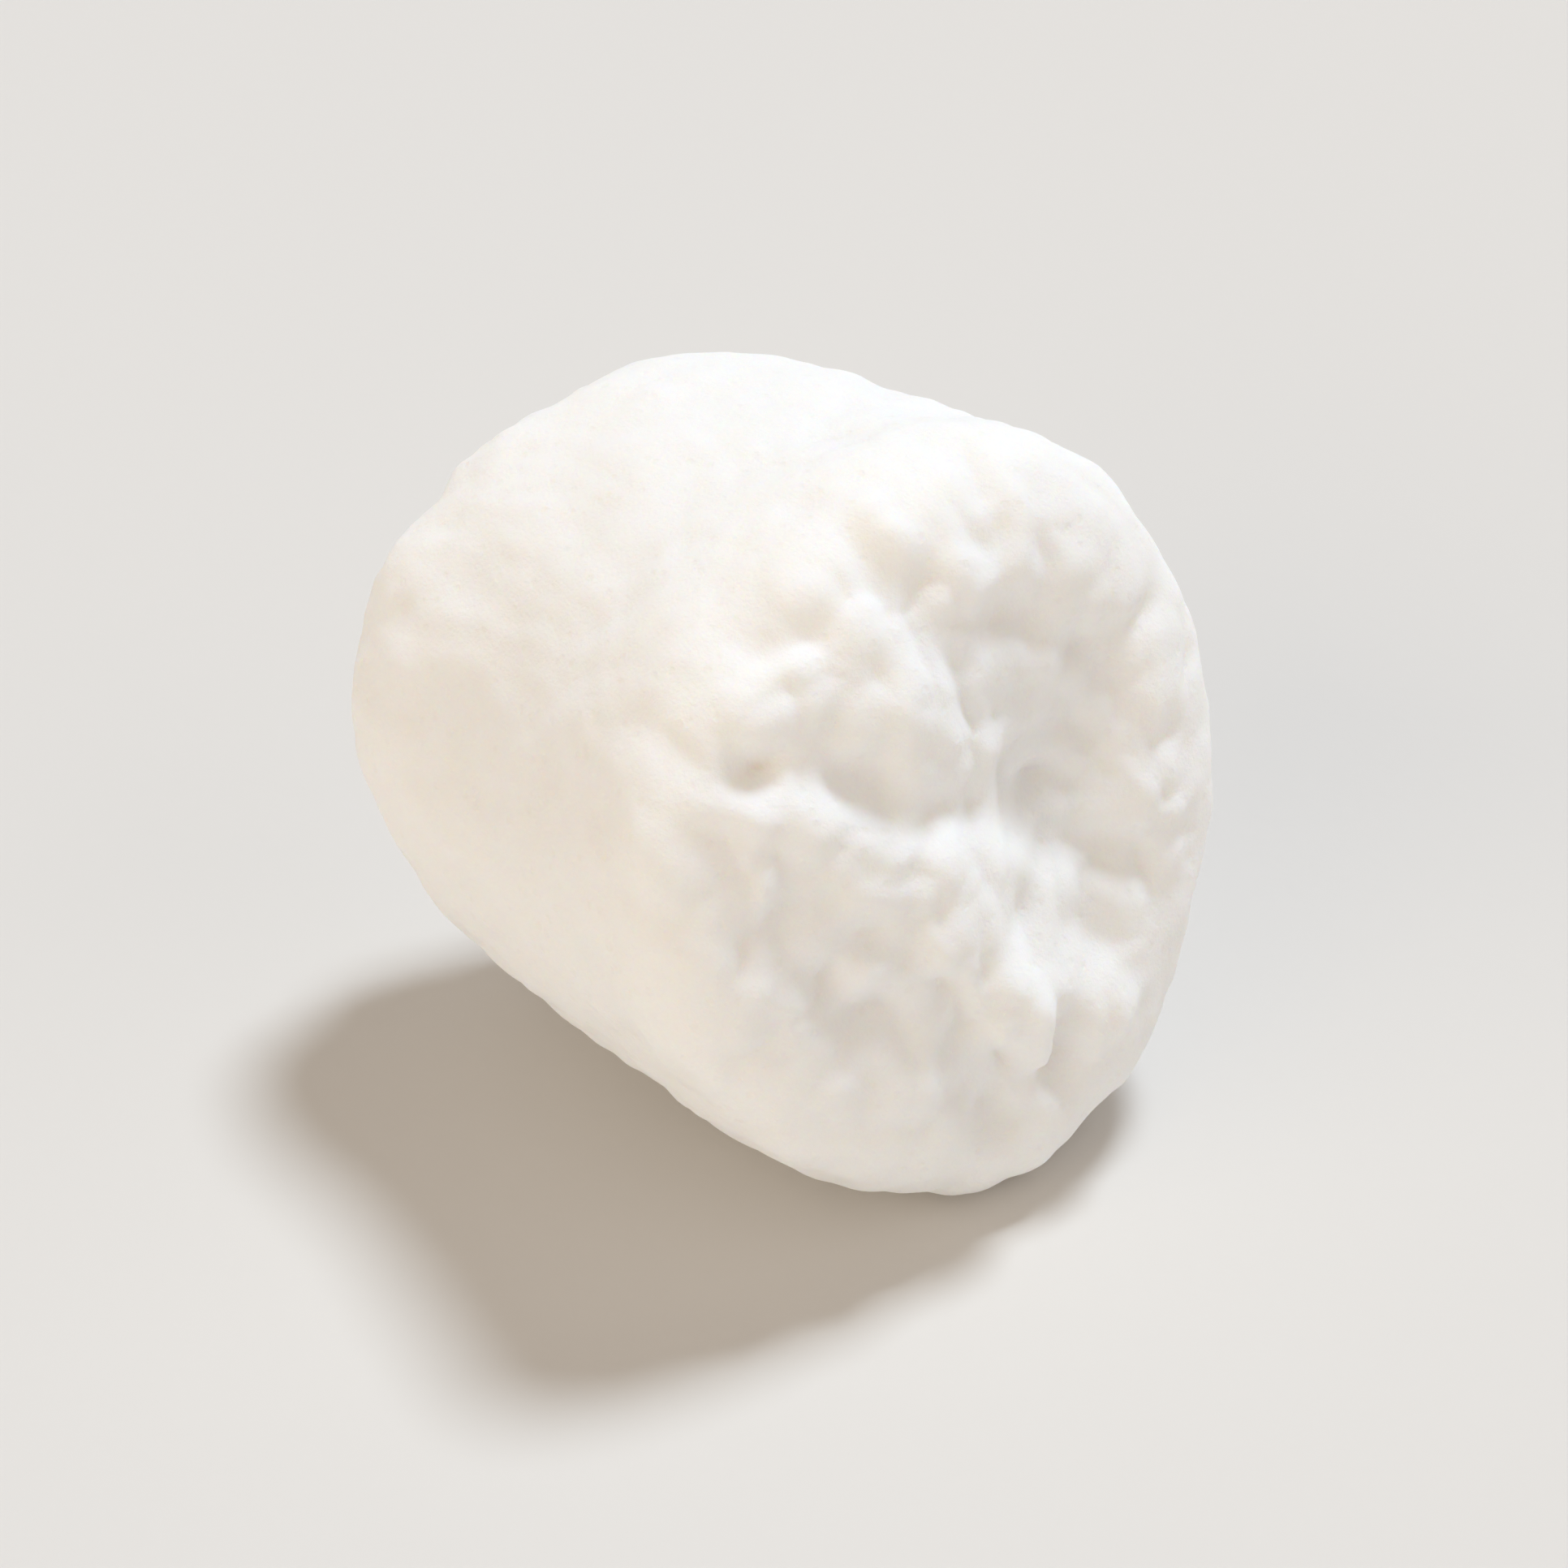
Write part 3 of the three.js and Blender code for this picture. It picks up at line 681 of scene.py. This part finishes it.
def add_sun(scene, name, azimuth, elevation, strength, spread, colour):
    """A distant soft lamp that shines on the piece from that azimuth and height."""
    sun = bpy.data.lights.new(name, "SUN")
    sun.energy = strength
    sun.angle = spread
    sun.color = colour
    lamp = bpy.data.objects.new(name, sun)
    lamp.rotation_euler = Vector(direction(azimuth, elevation)).to_track_quat("Z", "Y").to_euler()
    scene.collection.objects.link(lamp)


def make_light(scene, stage):
    """A key from above, behind the piece and to the right, a wide fill low on each side of the camera, and
    an even warm light from all round."""
    add_sun(scene, "key", stage.view_azimuth + math.pi - stage.key_azimuth, stage.key_elevation,
            stage.key_strength, stage.key_spread, stage.key_colour)
    for name, (azimuth, elevation), strength, colour in (
            ("left_fill", LEFT_FILL_PLACE, stage.left_strength, stage.left_colour),
            ("right_fill", RIGHT_FILL_PLACE, stage.right_strength, stage.right_colour)):
        add_sun(scene, name, stage.view_azimuth + azimuth, elevation, strength, FILL_SPREAD, colour)
    world = bpy.data.worlds.new("studio")
    world.use_nodes = True
    sky = world.node_tree.nodes["Background"]
    sky.inputs["Color"].default_value = (*stage.room_colour, 1)
    sky.inputs["Strength"].default_value = stage.room_strength
    scene.world = world


def make_camera(scene, stage):
    """A camera on the piece's middle, so far away that the piece fills its share of the frame's width."""
    low, high = (np.array(corner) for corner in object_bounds())
    middle = (low + high) / 2
    middle[2] = low[2] + stage.aim_height * (high[2] - low[2])
    camera = bpy.data.cameras.new("camera")
    camera.lens = stage.lens
    camera.sensor_width = SENSOR_WIDTH
    camera.clip_start, camera.clip_end = CLIP_RANGE
    view = bpy.data.objects.new("camera", camera)
    back = direction(stage.view_azimuth, stage.view_elevation)
    across = np.array((math.cos(stage.view_azimuth), math.sin(stage.view_azimuth), 0))
    width = float(np.abs(across) @ (high - low)) * SEEN_SHARE
    distance = width / stage.frame_share / camera.sensor_width * camera.lens
    view.location = middle + back * distance
    view.rotation_euler = Vector(back).to_track_quat("Z", "Y").to_euler()
    scene.collection.objects.link(view)
    scene.camera = view


# ---------------------------------------------------------------- operators and panel


def place_piece(name, mesh, material):
    """Puts a mesh into the scene as a piece at the origin, riding on the body and with the foam's slot."""
    mesh.materials.append(material)
    piece = bpy.data.objects.new(name, mesh)
    bpy.context.scene.collection.objects.link(piece)
    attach(piece, "root")
    return piece


class MARSHMALLOW_OT_foam(bpy.types.Operator):
    """Makes the marshmallow itself"""

    bl_idname = "marshmallow.foam"
    bl_label = "Foam"

    def execute(self, context):
        scene = context.scene
        mesh = closed_mesh("marshmallow_foam", foam_grid(scene.marshmallow_sizes))
        dust, pores = shared_group("Starch dust"), shared_group("Foam pores")
        material = foam_material(scene.marshmallow_finish, dust, pores)
        piece = place_piece("marshmallow_foam", mesh, material)
        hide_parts("marshmallow")
        return {"FINISHED"}


class MARSHMALLOW_OT_stage(bpy.types.Operator):
    """Makes the floor, the light and the camera"""

    bl_idname = "marshmallow.stage"
    bl_label = "Floor, light and camera"

    def execute(self, context):
        stage = context.scene.marshmallow_stage
        make_floor(stage)
        make_light(context.scene, stage)
        make_camera(context.scene, stage)
        context.scene.view_settings.view_transform = "Standard"
        return {"FINISHED"}


class VIEW3D_PT_marshmallow(bpy.types.Panel):
    """Lists the marshmallow's makers and sizes"""

    bl_label = "Small marshmallow"
    bl_idname = "VIEW3D_PT_marshmallow"
    bl_space_type = "VIEW_3D"
    bl_region_type = "UI"
    bl_category = "Marshmallow"

    def draw(self, context):
        layout = self.layout
        for operator in OPERATORS:
            layout.operator(operator.bl_idname)
        for group in (context.scene.marshmallow_sizes, context.scene.marshmallow_finish,
                      context.scene.marshmallow_stage):
            box = layout.box()
            for key in group.__annotations__:
                box.prop(group, key)


OPERATORS = (MARSHMALLOW_OT_foam, MARSHMALLOW_OT_stage)
PROPERTY_GROUPS = {
    "marshmallow_sizes": MarshmallowSizes,
    "marshmallow_finish": MarshmallowFinish,
    "marshmallow_stage": MarshmallowStage,
}


def register():
    """Adds the settings to the scene, then the operators and the panel."""
    for name, group in PROPERTY_GROUPS.items():
        bpy.utils.register_class(group)
        setattr(bpy.types.Scene, name, PointerProperty(type=group))
    for operator in OPERATORS:
        bpy.utils.register_class(operator)
    bpy.utils.register_class(VIEW3D_PT_marshmallow)


def unregister():
    """Takes away the panel, the operators and the settings."""
    bpy.utils.unregister_class(VIEW3D_PT_marshmallow)
    for operator in reversed(OPERATORS):
        bpy.utils.unregister_class(operator)
    for name, group in PROPERTY_GROUPS.items():
        delattr(bpy.types.Scene, name)
        bpy.utils.unregister_class(group)


def main():
    """Makes everything in order."""
    register()
    bpy.ops.marshmallow.foam()
    bpy.ops.marshmallow.stage()


if __name__ == "__main__":
    main()
